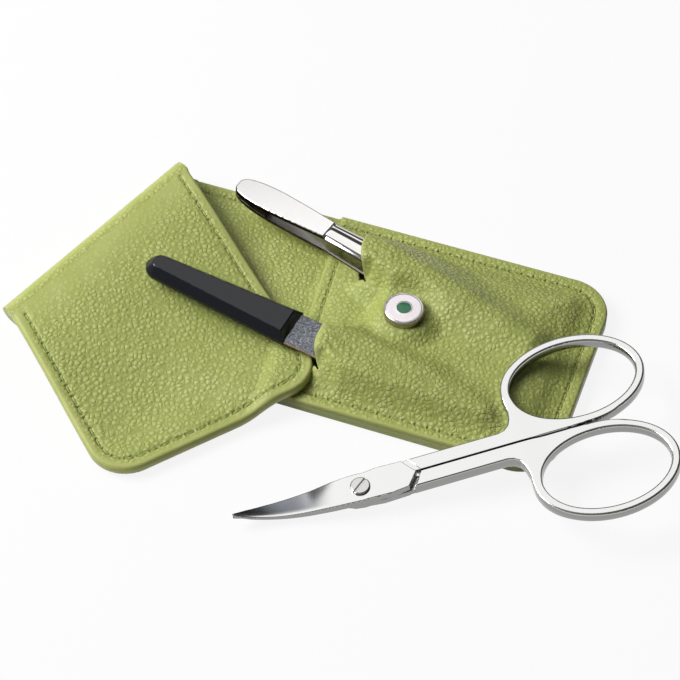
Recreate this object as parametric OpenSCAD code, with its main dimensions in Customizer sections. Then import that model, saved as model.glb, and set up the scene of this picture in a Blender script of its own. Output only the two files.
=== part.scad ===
// Manicure set in a folding leather pocket case, laid open with its tools in it.
// Millimetres. The origin is on the table, under the middle of the strip that carries the
// pocket. +X runs along the strip to its closed end, +Y to its far edge, +Z up.

/* [Leather strip] */
// Width of the leather strip, edge to edge
strip_w = 51; // [49:0.5:53]
// From the origin to the closed end of the strip
closed_end = 56; // [54:0.5:58]
// Corner radius of the closed end
corner_r = 9; // [6:0.5:11]
// Thickness of the green outer leather
outer_t = 1.2; // [1:0.1:1.3]
// Thickness of the lining leather
lining_t = 1.1; // [0.9:0.1:1.2]
// Thickness of the card stiffener, which lies in a recess of the lining
stiffener_t = 0.5; // [0.3:0.1:0.6]

/* [Fold and flap] */
// From the origin to the fold, along the middle of the strip
fold_x = 50.4; // [49:0.2:52]
// Angle of the fold to a square one, in degrees
fold_skew = 20.3; // [16:0.1:24]
// Height over the rolled fold
fold_h = 9.3; // [8.6:0.1:10.5]
// How far the strip's edges run along the fold as they roll over
fold_creep = 3.2; // [0:0.1:4]
// Length of the flap from the fold to its end, along its middle
flap_len = 53.9; // [50:0.1:54.5]
// Corner radius of the flap's end
flap_corner_r = 8.5; // [7:0.5:10]
// How far from the fold the flap sinks to the strip
flap_sink = 40; // [34:1:46]
// Diameter of the steel keeper plate inside the flap
keeper_d = 8; // [7:0.5:9]
// From the flap's end to the middle of the keeper plate
keeper_in = 11.2; // [10.5:0.1:12]

/* [Pocket panel] */
// From the origin to the open edge of the pocket panel
pocket_edge = 4.4; // [3.5:0.1:5.5]
// Angle of that edge to a square one, in degrees
pocket_skew = 5.3; // [3:0.1:7]
// Thickness of the panel's leather
panel_t = 1.1; // [0.9:0.1:1.2]
// Width of the sewn rim round the pocket
seam_w = 2.4; // [2:0.1:3]
// Radius of the curved slits that the tools go in through
slit_r = 9; // [8:0.5:11]
// Width of the slits
slit_w = 0.5; // [0.4:0.1:0.8]

/* [Button] */
// From the origin to the button, along the middle of the strip
button_x = 16.2; // [15:0.1:17]
// Diameter of the button
button_d = 8.5; // [7.5:0.1:9]
// Height of the button over the leather
button_h = 1.9; // [1.6:0.1:2.2]
// Diameter of the enamelled middle
enamel_d = 3; // [2:0.1:4]

/* [Nail file] */
// Length of the whole file
file_len = 80; // [78:0.5:80.5]
// Length of the plastic handle
handle_len = 35; // [33:0.5:36]
// Width of the handle where the blade comes out
handle_w = 9.3; // [9:0.1:10]
// Width of the handle near its free end
handle_tip_w = 6.4; // [5.5:0.1:7.5]
// Thickness of the handle
handle_t = 4.4; // [3.8:0.1:4.6]
// Width of the blade
blade_w = 8.4; // [7.5:0.1:8.6]
// Thickness of the steel blade
blade_t = 0.6; // [0.5:0.05:0.7]
// Thickness of the grit on each side
grit_t = 0.2; // [0.15:0.05:0.25]
// Slope of the file, in degrees
file_slope = 4.8; // [4.5:0.1:5.1]

/* [Tweezers] */
// Length of the tweezers
tweezer_len = 76; // [74:0.5:78]
// Thickness of each arm
arm_t = 1; // [0.8:0.05:1.1]
// Thickness over both arms at their belly
belly_t = 5.8; // [5.4:0.1:6]
// Slope of the tweezers, in degrees
tweezer_slope = 3.8; // [3.6:0.1:3.9]

/* [Scissors] */
// From the screw to the blades' tips
cut_len = 26.2; // [24:0.2:28]
// From the screw to the middle of the finger rings
ring_x = 48; // [47:0.2:49]
// Length of a finger ring, along its middle line
ring_len = 28.2; // [27:0.1:29]
// Width of a finger ring, along its middle line
ring_w = 20.1; // [19:0.1:20.6]
// Width of a ring's band, seen from above
band_w = 1.9; // [1.7:0.1:2.2]
// Height of a ring's band
band_h = 2.6; // [2.2:0.1:2.7]
// Thickness of each half at the joint
half_t = 1.6; // [1.4:0.1:1.7]
// Diameter of the screw's shank
pivot_d = 2.2; // [2:0.1:2.4]
// Diameter of the screw's head
head_d = 4.1; // [3.8:0.1:4.4]
// Height of the tips over the flat of the joint, from the blades' curve
tip_rise = 4; // [3:0.1:5]
// Slope of the scissors as they lie over the case, in degrees
scissor_slope = 7.6; // [7.4:0.1:8]

/* [Hidden] */
$fa = 6;
$fs = 0.4;

green = [0.55, 0.72, 0.36];
pale_green = [0.66, 0.80, 0.48];
card = [0.75, 0.68, 0.55];
nickel = [0.78, 0.78, 0.80];
steel = [0.70, 0.71, 0.73];
grit = [0.45, 0.42, 0.43];
black = [0.07, 0.07, 0.08];

seat = 0.3;                         // gap between a piece and the soft leather it lies on
half_w = strip_w / 2;
lining_top = outer_t + lining_t;
rim_top = lining_top + panel_t;
leather = outer_t + lining_t;

function smooth(t) = let(c = max(0, min(1, t))) c * c * (3 - 2 * c);
function between(a, b, t) = a + (b - a) * t;
// How far a rounded corner of radius r draws an end in, at distance e inside the edge
function corner(r, e) = e >= r ? 0 : r - sqrt(max(0, r * r - (r - e) * (r - e)));
// A value read from a list of [place, value] pairs, with straight runs between them
function read(list, x, i = 0) =
    i >= len(list) - 2 || x < list[i + 1][0]
    ? between(list[i][1], list[i + 1][1],
              max(0, min(1, (x - list[i][0]) / (list[i + 1][0] - list[i][0]))))
    : read(list, x, i + 1);

// ---- Closed shells and sweeps from rings of points

// Closes two equal grids of points, one over the other, into a solid sheet
module sheet(upper, lower) {
    n = len(upper);
    m = len(upper[0]);
    all = [for (row = upper) each row, for (row = lower) each row];
    low = n * m;
    function at(i, j) = i * m + j;
    faces = [
        for (i = [0 : n - 2], j = [0 : m - 2]) each [
            [at(i, j), at(i, j + 1), at(i + 1, j + 1)], [at(i, j), at(i + 1, j + 1), at(i + 1, j)],
            [low + at(i, j), low + at(i + 1, j + 1), low + at(i, j + 1)],
            [low + at(i, j), low + at(i + 1, j), low + at(i + 1, j + 1)]],
        for (i = [0 : n - 2]) each [
            [at(i, 0), at(i + 1, 0), low + at(i + 1, 0)],
            [at(i, 0), low + at(i + 1, 0), low + at(i, 0)],
            [at(i + 1, m - 1), at(i, m - 1), low + at(i, m - 1)],
            [at(i + 1, m - 1), low + at(i, m - 1), low + at(i + 1, m - 1)]],
        for (j = [0 : m - 2]) each [
            [at(0, j + 1), at(0, j), low + at(0, j)],
            [at(0, j + 1), low + at(0, j), low + at(0, j + 1)],
            [at(n - 1, j), at(n - 1, j + 1), low + at(n - 1, j + 1)],
            [at(n - 1, j), low + at(n - 1, j + 1), low + at(n - 1, j)]]];
    polyhedron(points = all, faces = faces, convexity = 8);
}

// Sweeps an oval section along stations [x, y, heading, half width, half height]
module oval_sweep(stations, closed = false, sides = 12) {
    n = len(stations);
    pts = [for (s = stations, k = [0 : sides - 1])
        let(a = 360 * k / sides, w = s[3] * cos(a))
        [s[0] - w * sin(s[2]), s[1] + w * cos(s[2]), s[4] * sin(a)]];
    last = closed ? n - 1 : n - 2;
    walls = [for (i = [0 : last], k = [0 : sides - 1])
        let(a = i * sides, b = ((i + 1) % n) * sides, l = (k + 1) % sides)
        each [[a + k, b + l, a + l], [a + k, b + k, b + l]]];
    caps = closed ? [] : [[for (k = [0 : sides - 1]) k],
                          [for (k = [sides - 1 : -1 : 0]) (n - 1) * sides + k]];
    polyhedron(points = pts, faces = concat(walls, caps), convexity = 6);
}

// ---- The strip: flat from its closed end to the fold

// The fold's far-to-near direction, and the flap's direction away from the fold
fold_dir = [-sin(fold_skew), -cos(fold_skew)];
flap_dir = [sin(2 * fold_skew + 90), cos(2 * fold_skew + 90)];
fold_axis_h = fold_h / 2;
function fold_at(y) = [-fold_x + y * tan(fold_skew), y];

// The strip's outline, drawn in by inset on every side that is sewn
module strip_outline(inset = 0) {
    w = half_w - inset;
    e = closed_end - inset;
    r = corner_r - inset;
    far = fold_at(w);
    near = fold_at(-w);
    polygon([[near[0] + inset, -w],
             for (a = [-90 : 7.5 : 0]) [e - r + r * cos(a), -w + r + r * sin(a)],
             for (a = [0 : 7.5 : 90]) [e - r + r * cos(a), w - r + r * sin(a)],
             [far[0] + inset, w]]);
}

module back_outer() {
    color(green) linear_extrude(outer_t) strip_outline();
}

module back_stiffener() {
    color(card) translate([0, 0, outer_t]) linear_extrude(stiffener_t) strip_outline(5);
}

module back_lining() {
    color(pale_green) difference() {
        translate([0, 0, outer_t]) linear_extrude(lining_t) strip_outline();
        translate([0, 0, outer_t - 1]) linear_extrude(1 + stiffener_t) strip_outline(5);
    }
}

// ---- The rolled fold, from the strip's edge up and over to the flap

// A point of the roll: turn 0 is under the axis, 180 over it; side runs from -1 to 1
function roll_point(turn, side, r) =
    let(root = fold_at(side * half_w), run = fold_creep * turn / 180)
    [root[0] + fold_dir[0] * run + fold_dir[1] * r * sin(turn),
     root[1] + fold_dir[1] * run - fold_dir[0] * r * sin(turn),
     fold_axis_h - r * cos(turn)];

module roll(r_out, r_in) {
    turns = [0 : 12 : 180];
    sides = [-1 : 0.25 : 1];
    sheet([for (t = turns) [for (s = sides) roll_point(t, -s, r_in)]],
          [for (t = turns) [for (s = sides) roll_point(t, -s, r_out)]]);
}

module fold_outer() {
    color(green) roll(fold_axis_h, fold_axis_h - outer_t);
}

module fold_lining() {
    color(pale_green) roll(fold_axis_h - outer_t, fold_axis_h - leather);
}

// ---- The tools' places: each lies along a line from its tail, sloping down to the right

file_tail = [-38.9, -7.1, 11];
file_yaw = -7.5;
tweezer_tail = [-29.3, 21.1, 9.25];
tweezer_yaw = -14.2;
blade_half = blade_t / 2 + grit_t;
wide = 20;                          // more than any tool's half width

module file_place() translate(file_tail) rotate([0, file_slope, file_yaw]) children();
module tweezer_place()
    translate(tweezer_tail) rotate([0, tweezer_slope, tweezer_yaw]) children();

// Distance of a place on the strip along and across a tool's line
function along(p, tail, yaw) = (p[0] - tail[0]) * cos(yaw) + (p[1] - tail[1]) * sin(yaw);
function across(p, tail, yaw) = (p[1] - tail[1]) * cos(yaw) - (p[0] - tail[0]) * sin(yaw);

// Half widths along the file's blade and along a tweezer arm, from the tail
blade_halves = [[0, 1.6], [handle_len - 12, 2.6], [handle_len - 2, blade_w / 2],
                [file_len - 26, blade_w / 2], [file_len - 14, blade_w / 2 * 0.86],
                [file_len - 6, blade_w / 2 * 0.62], [file_len - 2, blade_w / 2 * 0.36],
                [file_len, 0.5]];
arm_halves = [[0, 1.3], [0.6, 1.9], [2, 2.5], [5, 3], [10, 3.2], [17, 2.85], [24, 2.4],
              [34, 2.8], [42, 2.9], [52, 2.5], [64, 1.8], [tweezer_len, 1.2]];

// Height of an arm's outer face over the tweezers' middle plane: a shallow arc
arm_crown = 40;
arm_arc = (arm_crown * arm_crown) / (belly_t - 2.5);
function arm_face(u) = belly_t / 2 - (u - arm_crown) * (u - arm_crown) / (2 * arm_arc);

module outline_of(halves, grow = 0) {
    n = len(halves) - 1;
    polygon([for (i = [0 : n]) [halves[i][0] + (i == 0 ? -grow : i == n ? grow : 0),
                                -halves[i][1] - grow],
             for (i = [n : -1 : 0]) [halves[i][0] + (i == 0 ? -grow : i == n ? grow : 0),
                                     halves[i][1] + grow]]);
}

// ---- The pocket panel: a sheet that rises over the tools from its sewn rim

function panel_left(y) = -pocket_edge - y * tan(pocket_skew);
function panel_right(y) = closed_end - corner(corner_r, half_w - abs(y));

// Height over the rim that a tool's place asks for, spread out to its sides
function ridge(u, v, top, half, length, spread) =
    max(0, top + seat + 0.2 + panel_t - rim_top)
    * (1 - smooth((abs(v) - half - 0.6) / spread))
    * (1 - smooth((u - length + 1) / 6));
function tweezer_ridge(p) =
    let(u = along(p, tweezer_tail, tweezer_yaw), v = across(p, tweezer_tail, tweezer_yaw),
        axis_z = tweezer_tail[2] - u * tan(tweezer_slope))
    ridge(u, v, axis_z + arm_face(u), read(arm_halves, u), tweezer_len, 6.5);
function file_ridge(p) =
    let(u = along(p, file_tail, file_yaw), v = across(p, file_tail, file_yaw),
        axis_z = file_tail[2] - u * tan(file_slope))
    ridge(u, v, axis_z + blade_half, read(blade_halves, u), file_len, 6);

// The button's flat seat between the two ridges
button_seat = 8.4;
function panel_puff(p) =
    let(ends = min(half_w - abs(p[1]), closed_end - p[0]),
        mouth = p[0] - panel_left(p[1]) - seam_w,
        t = tweezer_ridge(p) * smooth((mouth - 0.6) / 6),
        f = file_ridge(p) * smooth((mouth - 3) / 4.2))
    smooth((ends - seam_w) / 5.4)
    * (0.9 * smooth(mouth / 8) + pow(pow(t, 4) + pow(f, 4), 0.25));
function panel_top(p) =
    let(r = norm([p[0] - button_x, p[1]]))
    between(button_seat, rim_top + panel_puff(p), smooth((r - button_d / 2 - 0.3) / 2.6));

module panel_sheet() {
    cols = 34;
    rows = 28;
    xs = [for (i = [0 : cols]) pow(i / cols, 1.25)];
    grid = [for (i = [0 : cols]) [for (j = [0 : rows])
        let(y = half_w * sin(90 * (2 * j / rows - 1)) * 0.35
                + half_w * (2 * j / rows - 1) * 0.65,
            x = between(panel_left(y), panel_right(y), xs[i]))
        [x, y, panel_top([x, y])]]];
    sheet([for (row = grid) [for (p = row) p]],
          [for (row = grid) [for (p = row) [p[0], p[1], p[2] - panel_t]]]);
}

// The room that the tools take where they go in through the panel
module tweezer_room(grow) {
    tweezer_place() intersection() {
        translate([0, 0, -belly_t]) linear_extrude(2 * belly_t) outline_of(arm_halves, grow);
        rotate([90, 0, 0]) linear_extrude(2 * wide, center = true)
            polygon([for (u = [20 : 4 : 60]) [u, -max(arm_face(u), arm_face(40)) - grow],
                     for (u = [60 : -4 : 20]) [u, max(arm_face(u), arm_face(40)) + grow]]);
    }
}
module file_room(grow) {
    file_place() translate([0, 0, -blade_half - grow])
        linear_extrude(2 * (blade_half + grow)) intersection() {
            outline_of(blade_halves, grow);
            translate([handle_len, -wide]) square([file_len, 2 * wide]);
        }
}

// A curved slit across a tool, bowed to the left
tweezer_slit_at = tweezer_len * 0.43;
file_slit_at = handle_len + 6;
tweezer_slit_span = 76;
file_slit_span = 86;
slit_h = 12;                        // more than the leather ever rises over its rim
module slit(u, tail, yaw, span) {
    mid = [tail[0] + u * cos(yaw), tail[1] + u * sin(yaw)];
    translate([mid[0] + slit_r, mid[1], 0])
        rotate_extrude(angle = span, start = 180 - span / 2)
            translate([slit_r - slit_w / 2, rim_top - 1]) square([slit_w, slit_h]);
}

module pocket_panel() {
    color(pale_green) difference() {
        panel_sheet();
        tweezer_room(seat);
        file_room(seat);
        slit(tweezer_slit_at, tweezer_tail, tweezer_yaw, tweezer_slit_span);
        slit(file_slit_at, file_tail, file_yaw, file_slit_span);
        // the cap and the washer press the leather flat
        button_place() {
            cylinder(d = button_d + 0.2, h = 6);
            translate([0, 0, -3]) cylinder(d = rivet_d + 0.2, h = 6);
            translate([0, 0, -panel_t - 6]) cylinder(d = washer_d + 0.2, h = 6);
        }
    }
}

// ---- The button: a cap with a magnet in it, riveted through the panel

rivet_d = 3.4;
washer_d = 7;
washer_t = 0.4;
backing_t = 0.6;
cap_wall = 0.5;
magnet_t = 0.9;

module button_place() translate([button_x, 0, button_seat]) children();

module button_cap() {
    r = button_d / 2;
    round_r = 0.7;
    color(nickel) button_place() rotate_extrude() difference() {
        polygon([[0, 0], [r - 0.1, 0], [r, 0.2], [r, button_h - round_r],
                 for (a = [0 : 15 : 90])
                     [r - round_r + round_r * cos(a), button_h - round_r + round_r * sin(a)],
                 [0, button_h]]);
        translate([0, -1]) square([r - cap_wall - 0.5, 1 + magnet_t + 0.1]);
        translate([0, button_h - 0.3]) square([enamel_d / 2, 1]);
    }
}

module button_enamel() {
    color(green) button_place() translate([0, 0, button_h - 0.3])
        cylinder(d = enamel_d, h = 0.25);
}

module button_magnet() {
    color(steel) button_place() rotate_extrude()
        translate([rivet_d / 2 - 0.2, 0.05]) square([1.3, magnet_t]);
}

module button_rivet() {
    low = -panel_t - washer_t;
    color(nickel) button_place() rotate_extrude() difference() {
        union() {
            translate([0, low - 0.3]) square([rivet_d / 2 + 0.7, 0.3]);
            translate([0, low - 0.3]) square([rivet_d / 2 - 0.25, magnet_t + 0.3 - low]);
        }
        translate([-0.1, low - 1]) square([rivet_d / 2 - 0.75 + 0.1, 1.6 - low]);
    }
}

module button_washer() {
    color(steel) button_place() translate([0, 0, -panel_t - washer_t]) difference() {
        cylinder(d = washer_d, h = washer_t);
        translate([0, 0, -1]) cylinder(d = rivet_d - 0.4, h = 3);
    }
}

module button_backing() {
    color(card) button_place()
        translate([0, 0, -panel_t - washer_t - 0.3 - backing_t])
            cylinder(d = washer_d + 1, h = backing_t);
}

// ---- The flap: it sinks from the fold to the strip, and past the strip to the table

flap_root = [-fold_x + fold_dir[0] * fold_creep, fold_dir[1] * fold_creep];
// What lies under the flap at a place: table, strip, and the panel's low corner
ramp_run = 11;
function under_flap(p) =
    let(strip = seat + lining_top,
        ramp = between(strip, 0.05, max(0, min(1, (-p[1] - half_w - 1.4) / ramp_run))),
        on_panel = smooth((p[0] - panel_left(p[1]) + 5.5) / 4)
                   * smooth((p[1] + half_w + 5) / 3))
    max(ramp, between(strip * 0.4, seat + panel_top(p), on_panel));
function flap_bottom(p) =
    let(q = (p[0] + fold_x) * cos(fold_skew) - p[1] * sin(fold_skew),
        base = under_flap(p))
    between(fold_h - leather, base, smooth(q / flap_sink));
function flap_grid(lift) = [for (i = [0 : 26]) [for (j = [0 : 18])
    let(s = 0.3 * sin(90 * (2 * j / 18 - 1)) + 0.7 * (2 * j / 18 - 1),
        side = s * half_w,
        root = [flap_root[0] + side * tan(fold_skew), flap_root[1] + side],
        reach = flap_len + side * tan(fold_skew)
                - corner(flap_corner_r, half_w - abs(side)),
        t = reach * i / 26,
        p = [root[0] + flap_dir[0] * t, root[1] + flap_dir[1] * t])
    [p[0], p[1], flap_bottom(p) + lift]]];

// The keeper lies flat in the flap, where the flap slopes evenly down to the table
keeper_at = [flap_root[0] + flap_dir[0] * (flap_len - keeper_in),
             flap_root[1] + flap_dir[1] * (flap_len - keeper_in)];
keeper_t = 0.5;
keeper_under = 0.15;                // how far the plate lies under the outer leather
module keeper_place() {
    tilt = atan((seat + lining_top - 0.05) / ramp_run);
    translate([keeper_at[0], keeper_at[1], flap_bottom(keeper_at) + lining_t])
        rotate([tilt, 0, 0]) children();
}

// The room that the plate takes, to a height over the face between the leathers
module keeper_room(height) {
    keeper_place() translate([0, 0, -keeper_t - keeper_under - 0.05])
        cylinder(d = keeper_d + 0.4, h = height + keeper_t + keeper_under + 0.05);
}

module flap_outer() {
    color(green) difference() {
        sheet(flap_grid(leather), flap_grid(lining_t));
        keeper_room(0.05 - keeper_under);
    }
}

module flap_lining() {
    color(pale_green) difference() {
        sheet(flap_grid(lining_t), flap_grid(0));
        keeper_room(leather);
    }
}

module keeper_plate() {
    color(steel) keeper_place() translate([0, 0, -keeper_t - keeper_under])
        cylinder(d = keeper_d, h = keeper_t);
}

// ---- The nail file: a steel blade with grit on both faces, set in a bevelled handle

tang_at = 6;                        // where the blade's tang begins inside the handle
module file_blade() {
    color(steel) file_place() translate([0, 0, -blade_t / 2]) linear_extrude(blade_t)
        intersection() {
            outline_of(blade_halves);
            translate([tang_at, -wide]) square([file_len, 2 * wide]);
        }
}

module grit_layer() {
    linear_extrude(grit_t) intersection() {
        outline_of(blade_halves, -0.25);
        translate([handle_len + 1, -wide]) square([file_len, 2 * wide]);
    }
}

module file_grit_top() {
    color(grit) file_place() translate([0, 0, blade_t / 2]) grit_layer();
}

module file_grit_bottom() {
    color(grit) file_place() translate([0, 0, -blade_t / 2 - grit_t]) grit_layer();
}

// The handle's outline, drawn in by inset: narrow and round at the free end
module handle_outline(inset) {
    tip = handle_tip_w / 2 - inset;
    root = handle_w / 2 - inset;
    polygon([for (a = [90 : 15 : 270])
                 [inset + tip + tip * cos(a), tip * sin(a)],
             [handle_len - inset, -root], [handle_len - inset, root]]);
}

module file_handle() {
    bevel = 1.5;
    mid = 0.7;
    color(black) file_place() difference() {
        hull() {
            translate([0, 0, -mid / 2]) linear_extrude(mid) handle_outline(0);
            translate([0, 0, -handle_t / 2]) linear_extrude(handle_t) handle_outline(bevel);
        }
        translate([0, 0, -blade_t / 2 - 0.02]) linear_extrude(blade_t + 0.04)
            intersection() {
                outline_of(blade_halves, 0.05);
                translate([tang_at - 0.1, -wide]) square([file_len, 2 * wide]);
            }
    }
}

// ---- The tweezers: two bowed arms on a spacer at the tail

function arm_side(s) = [
    for (u = [0 : 4 : tweezer_len]) [u, s * arm_face(u)],
    for (u = [tweezer_len : -4 : 0]) [u, s * (arm_face(u) - arm_t)]];

module tweezer_arm(s) {
    tweezer_place() intersection() {
        translate([0, 0, -belly_t]) linear_extrude(2 * belly_t) outline_of(arm_halves);
        rotate([90, 0, 0]) linear_extrude(2 * wide, center = true) polygon(arm_side(s));
    }
}

module tweezer_lower_arm() {
    color(steel) tweezer_arm(-1);
}

module tweezer_upper_arm() {
    color(steel) tweezer_arm(1);
}

// The wedge that the arms are welded to
spacer_len = 9;
module tweezer_spacer() {
    color(steel) tweezer_place() intersection() {
        translate([0, 0, -belly_t]) linear_extrude(2 * belly_t)
            intersection() {
                outline_of(arm_halves, -0.1);
                translate([0.3, -wide]) square([spacer_len, 2 * wide]);
            }
        rotate([90, 0, 0]) linear_extrude(2 * wide, center = true)
            polygon([for (u = [0 : 1 : spacer_len + 1]) [u, arm_face(u) - arm_t - 0.02],
                     for (u = [spacer_len + 1 : -1 : 0]) [u, arm_t - arm_face(u) + 0.02]]);
    }
}

// ---- The nail scissors: two crossed halves on a slotted screw, blades curved upward.
// Their own frame: screw at the origin, +X to the rings, the halves meet at Z = 0.

scissor_at = [21.6, -42.1, 2.75];
scissor_yaw = 34;
belly_r = 9.7;                      // the blades' curve starts at this distance
ride = 0.03;                        // gap between the halves
blade_edge_t = 0.5;                 // thickness of a blade at its tip
joint_tip = 11.7;                   // from the screw to the point of a joint plate
joint_half = 3.4;                   // half width of the joint and of both shanks
shoulder_gap = 1;                   // groove between a plate and the other half's shank
shank_h = 1.45;                     // height of a shank on each side of the middle plane
split = 0.15;                       // half the gap between the two shanks

module scissor_place()
    translate(scissor_at) rotate([0, -scissor_slope, scissor_yaw]) children();

// Height of the plane that the blades meet in: it depends on the distance to the screw
// alone, so the blades stay face to face as they open
function ride_z(r) = r < belly_r ? 0 : tip_rise * pow((r - belly_r) / (cut_len - belly_r), 2);
function blade_thick(r) = between(half_t, blade_edge_t, smooth((r - 3) / (cut_len - 3)) * 0.9);

// The band that a blade fills round the screw, on side s of the meeting plane
module blade_band(s) {
    radii = [for (k = [0 : 11]) k < 1 ? 0.01 : belly_r + (cut_len + 2 - belly_r) * (k - 1) / 10];
    rotate_extrude() polygon([
        for (r = radii) [r, ride_z(r) + s * ride / 2],
        for (k = [len(radii) - 1 : -1 : 0])
            [radii[k], ride_z(radii[k]) + s * (ride / 2 + blade_thick(radii[k]))]]);
}

// Outline of a blade, its back on the -Y side
module blade_outline() {
    polygon([[-cut_len, 0.25], [-cut_len + 0.3, -0.3], [-22.7, -1.05], [-16.1, -1.9],
             [-10.7, -2.5], [-6, -3], [0, -joint_half], [2, -joint_half + 0.2],
             [2, joint_half - 0.3], [0, 3.2], [-2, 2.9], [-5, 1.2], [-8, 0.9], [-16, 0.6]]);
}

// Outline of the joint plate, which ends in a blunt point between the shanks
module plate_outline() {
    polygon([[-0.3, -joint_half + 0.1], [6, -joint_half - 0.1],
             [joint_tip - 2.3, -joint_half + 0.3], [joint_tip, 0],
             [joint_tip - 2.4, joint_half - 0.1], [4, joint_half + 0.1], [-0.3, 3]]);
}

// Outline of a shank, from its slanting shoulder to the web that flares into its ring
module shank_outline() {
    start = joint_tip + shoulder_gap;
    polygon([[start, split], [ring_x - 4, split], [ring_x - 1, 0.5], [ring_x - 2, 1.6],
             [43.1, 1.9], [40, 2.7], [37.6, 4], [36, 5.9], [34.9, 8], [34.5, 10.5],
             [33.4, 10.5], [33.1, 8], [32.7, 5.9], [32.1, 4.6], [31.1, 3.75], [29.8, 3.4],
             [start - 2.3, joint_half]]);
}

// Outline of the neck that joins a shank to its own plate, in front of the shoulder
module neck_outline() {
    translate([joint_tip - 4, split + 0.1]) square([7, joint_half - split - 0.3]);
}

// Stations round the finger ring
ring_y = ring_w / 2 + 1.25;
ring_stations = [for (a = [0 : 8 : 359])
    let(sx = -ring_len / 2 * sin(a), sy = ring_w / 2 * cos(a))
    [ring_x + ring_len / 2 * cos(a), ring_y + ring_w / 2 * sin(a),
     atan2(sy, sx), band_w / 2, band_h / 2]];

// Fills an outline between two distances from the middle plane, on side s of it
module layer(s, near, far) translate([0, 0, s > 0 ? near : -far])
    linear_extrude(far - near) children();

// A half whose blade lies on side s of the meeting plane, its ring at +Y
module scissor_half(s) {
    difference() {
        union() {
            intersection() {
                translate([0, 0, -3]) linear_extrude(12) blade_outline();
                blade_band(s);
            }
            layer(s, ride / 2 + 0.01, half_t + ride / 2) plate_outline();
            layer(s, 0.1, shank_h - 0.05) neck_outline();
            translate([0, 0, -shank_h]) linear_extrude(2 * shank_h) shank_outline();
            oval_sweep(ring_stations, closed = true);
        }
        translate([0, 0, -4]) cylinder(d = pivot_d + 0.06, h = 8);
    }
}

module scissor_lower_half() {
    color(steel) scissor_place() mirror([0, 1, 0]) scissor_half(-1);
}

module scissor_upper_half() {
    color(nickel) scissor_place() scissor_half(1);
}

module scissor_screw() {
    top = half_t + ride;
    color(nickel) scissor_place() difference() {
        union() {
            translate([0, 0, -half_t - 0.1]) cylinder(d = pivot_d, h = half_t + top + 0.15);
            translate([0, 0, top + 0.02]) cylinder(d = head_d, h = 0.5);
        }
        translate([0, 0, top + 0.27]) rotate(40) cube([head_d + 1, 0.5, 1], center = true);
    }
}

back_outer();
back_stiffener();
back_lining();
fold_outer();
fold_lining();
pocket_panel();
button_cap();
button_enamel();
button_magnet();
button_rivet();
button_washer();
button_backing();
flap_outer();
flap_lining();
keeper_plate();
file_blade();
file_grit_top();
file_grit_bottom();
file_handle();
tweezer_lower_arm();
tweezer_spacer();
tweezer_upper_arm();
scissor_lower_half();
scissor_upper_half();
scissor_screw();
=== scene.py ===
import math

import bpy
import numpy as np
from mathutils import Matrix, Vector


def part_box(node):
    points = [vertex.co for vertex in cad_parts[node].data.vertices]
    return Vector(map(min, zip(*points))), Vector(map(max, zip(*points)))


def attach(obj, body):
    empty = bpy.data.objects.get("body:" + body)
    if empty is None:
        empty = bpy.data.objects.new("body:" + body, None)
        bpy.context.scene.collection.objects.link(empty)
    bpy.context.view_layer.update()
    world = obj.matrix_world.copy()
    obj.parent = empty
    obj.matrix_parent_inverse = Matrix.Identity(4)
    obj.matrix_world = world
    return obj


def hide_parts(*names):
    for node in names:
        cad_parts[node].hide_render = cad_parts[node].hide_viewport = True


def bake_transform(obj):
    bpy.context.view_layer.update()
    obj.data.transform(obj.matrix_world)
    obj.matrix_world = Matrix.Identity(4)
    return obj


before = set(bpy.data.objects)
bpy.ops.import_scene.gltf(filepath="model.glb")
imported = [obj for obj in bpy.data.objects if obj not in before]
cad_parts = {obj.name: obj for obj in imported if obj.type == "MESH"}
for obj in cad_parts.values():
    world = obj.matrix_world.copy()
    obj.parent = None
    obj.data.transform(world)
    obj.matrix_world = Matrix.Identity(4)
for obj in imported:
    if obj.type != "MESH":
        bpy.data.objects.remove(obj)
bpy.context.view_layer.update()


# ---- The strip's outer leather
# One long strip of pebbled calf, grain side down, runs from the closed end to the fold.
# It is cut from a flat hide, and its edge is turned, rounded and burnished.

MM = 0.001
strip_low, strip_high = (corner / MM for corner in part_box("back_outer"))
half_width = strip_high.y
closed_end = strip_high.x
corner_radius = 9.0
outer_thick = strip_high.z
fold_skew = math.radians(20.3)
fold_along = (-math.sin(fold_skew), -math.cos(fold_skew))
fold_middle = -50.4


def smooth(t):
    c = np.clip(t, 0, 1)
    return c * c * (3 - 2 * c)


def between(a, b, t):
    return a + (b - a) * t


def places_of(piece):
    """The places of a piece's vertices, in millimetres, one row each."""
    flat = np.empty(len(piece.data.vertices) * 3)
    piece.data.vertices.foreach_get("co", flat)
    return flat.reshape(-1, 3) / MM


def put_places(piece, places):
    piece.data.vertices.foreach_set("co", (places * MM).ravel())
    piece.data.update()


def face_middles(piece):
    flat = np.empty(len(piece.data.polygons) * 3)
    piece.data.polygons.foreach_get("center", flat)
    return flat.reshape(-1, 3) / MM


def only(piece):
    """Makes one piece the only selected one."""
    bpy.ops.object.select_all(action="DESELECT")
    piece.select_set(True)
    bpy.context.view_layer.objects.active = piece


def in_edit(piece, picked):
    """Opens a piece in edit mode with only the picked faces selected."""
    only(piece)
    bpy.ops.object.mode_set(mode="EDIT")
    bpy.ops.mesh.select_mode(type="FACE")
    bpy.ops.mesh.select_all(action="DESELECT")
    bpy.ops.object.mode_set(mode="OBJECT")
    piece.data.polygons.foreach_set("select", picked)
    bpy.ops.object.mode_set(mode="EDIT")


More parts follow.
